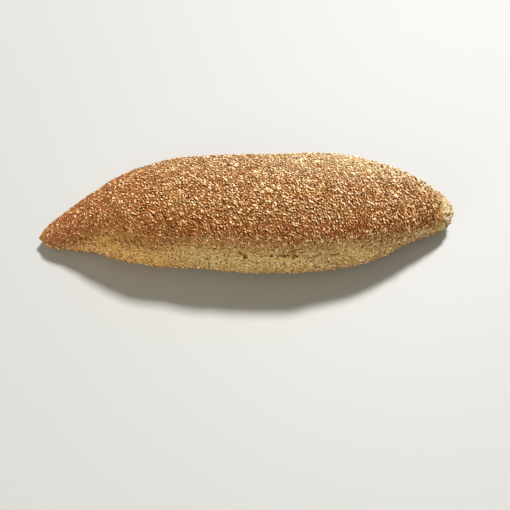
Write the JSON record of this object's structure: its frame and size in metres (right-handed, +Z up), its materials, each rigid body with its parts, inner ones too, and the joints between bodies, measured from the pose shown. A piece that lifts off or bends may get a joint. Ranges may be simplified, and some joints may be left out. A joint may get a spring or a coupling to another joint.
{
  "type": "bran loaf",
  "caption": "Long tapered wholemeal loaf with a bran-flecked browned crust, pale flanks, a slim tip and one end torn open to the crumb, to serve whole or slice.",
  "frame": {"origin": "bottom centre of the loaf's box, on the surface it stands on", "axes": "+X along the loaf, from its slim tip to its torn end; +Z up; -Y is the side seen in the picture"},
  "size_m": [0.309, 0.0972, 0.0656],
  "materials": {
    "crust": "baked wholemeal crust: matt, reddish brown on the crown, paler golden brown on the flanks",
    "crumb": "torn cream-brown wholemeal crumb with small open cells",
    "bran": "toasted wheat bran flakes, pale gold to brown, slightly glossy"
  },
  "bodies": {
    "root": {"loaf": "crust"}
  },
  "joints": []
}
